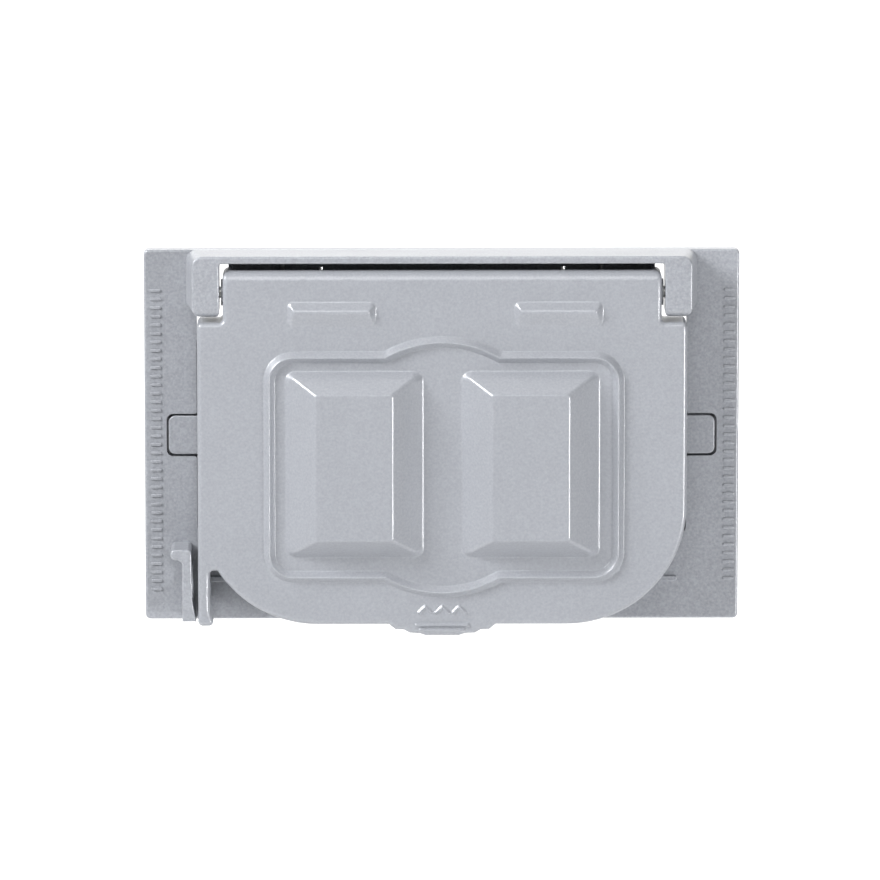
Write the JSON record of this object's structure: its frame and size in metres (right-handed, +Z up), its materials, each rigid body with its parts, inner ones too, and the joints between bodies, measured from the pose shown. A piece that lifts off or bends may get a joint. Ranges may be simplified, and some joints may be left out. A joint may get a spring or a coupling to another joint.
{
  "type": "weatherproof outlet cover",
  "caption": "Horizontal weatherproof wall-outlet cover: a cast plate and hood with a sprung flip lid, raised pads, a grip tab and padlock ears, sealed by gaskets.",
  "frame": {"origin": "middle of the back face, which lies on the wall or box", "axes": "+X to the right and +Z up as seen from the front; +Y goes into the wall, so the cover stands out towards -Y"},
  "size_m": [0.116, 0.0343, 0.0745],
  "materials": {
    "grey_paint": "satin",
    "black_rubber": "matte",
    "black_foam": "matte",
    "steel": "satin",
    "white_fibre": "matte"
  },
  "bodies": {
    "base": {"base_plate": "grey_paint", "adapter_plate": "grey_paint", "wall_gasket": "black_rubber", "device_gasket": "black_foam", "hinge_pin": "steel", "lid_spring_left": "steel", "lid_spring_right": "steel", "box_screw_left": "steel", "box_screw_right": "steel", "device_screw": "steel", "screw_retainer_left": "white_fibre", "screw_retainer_right": "white_fibre", "screw_retainer_centre": "white_fibre"},
    "lid": {"lid": "grey_paint", "lid_gasket": "black_foam"}
  },
  "joints": [
    {"name": "lid_hinge", "type": "hinge", "parent": "base", "child": "lid", "pos_m": [0, -0.0112, 0.029], "axis": [-1, 0, 0], "range_deg": [0, 95], "stiffness_Nm_per_rad": 0.03, "springref_deg": -57.3, "deforming": ["lid_spring_left", "lid_spring_right"]}
  ]
}
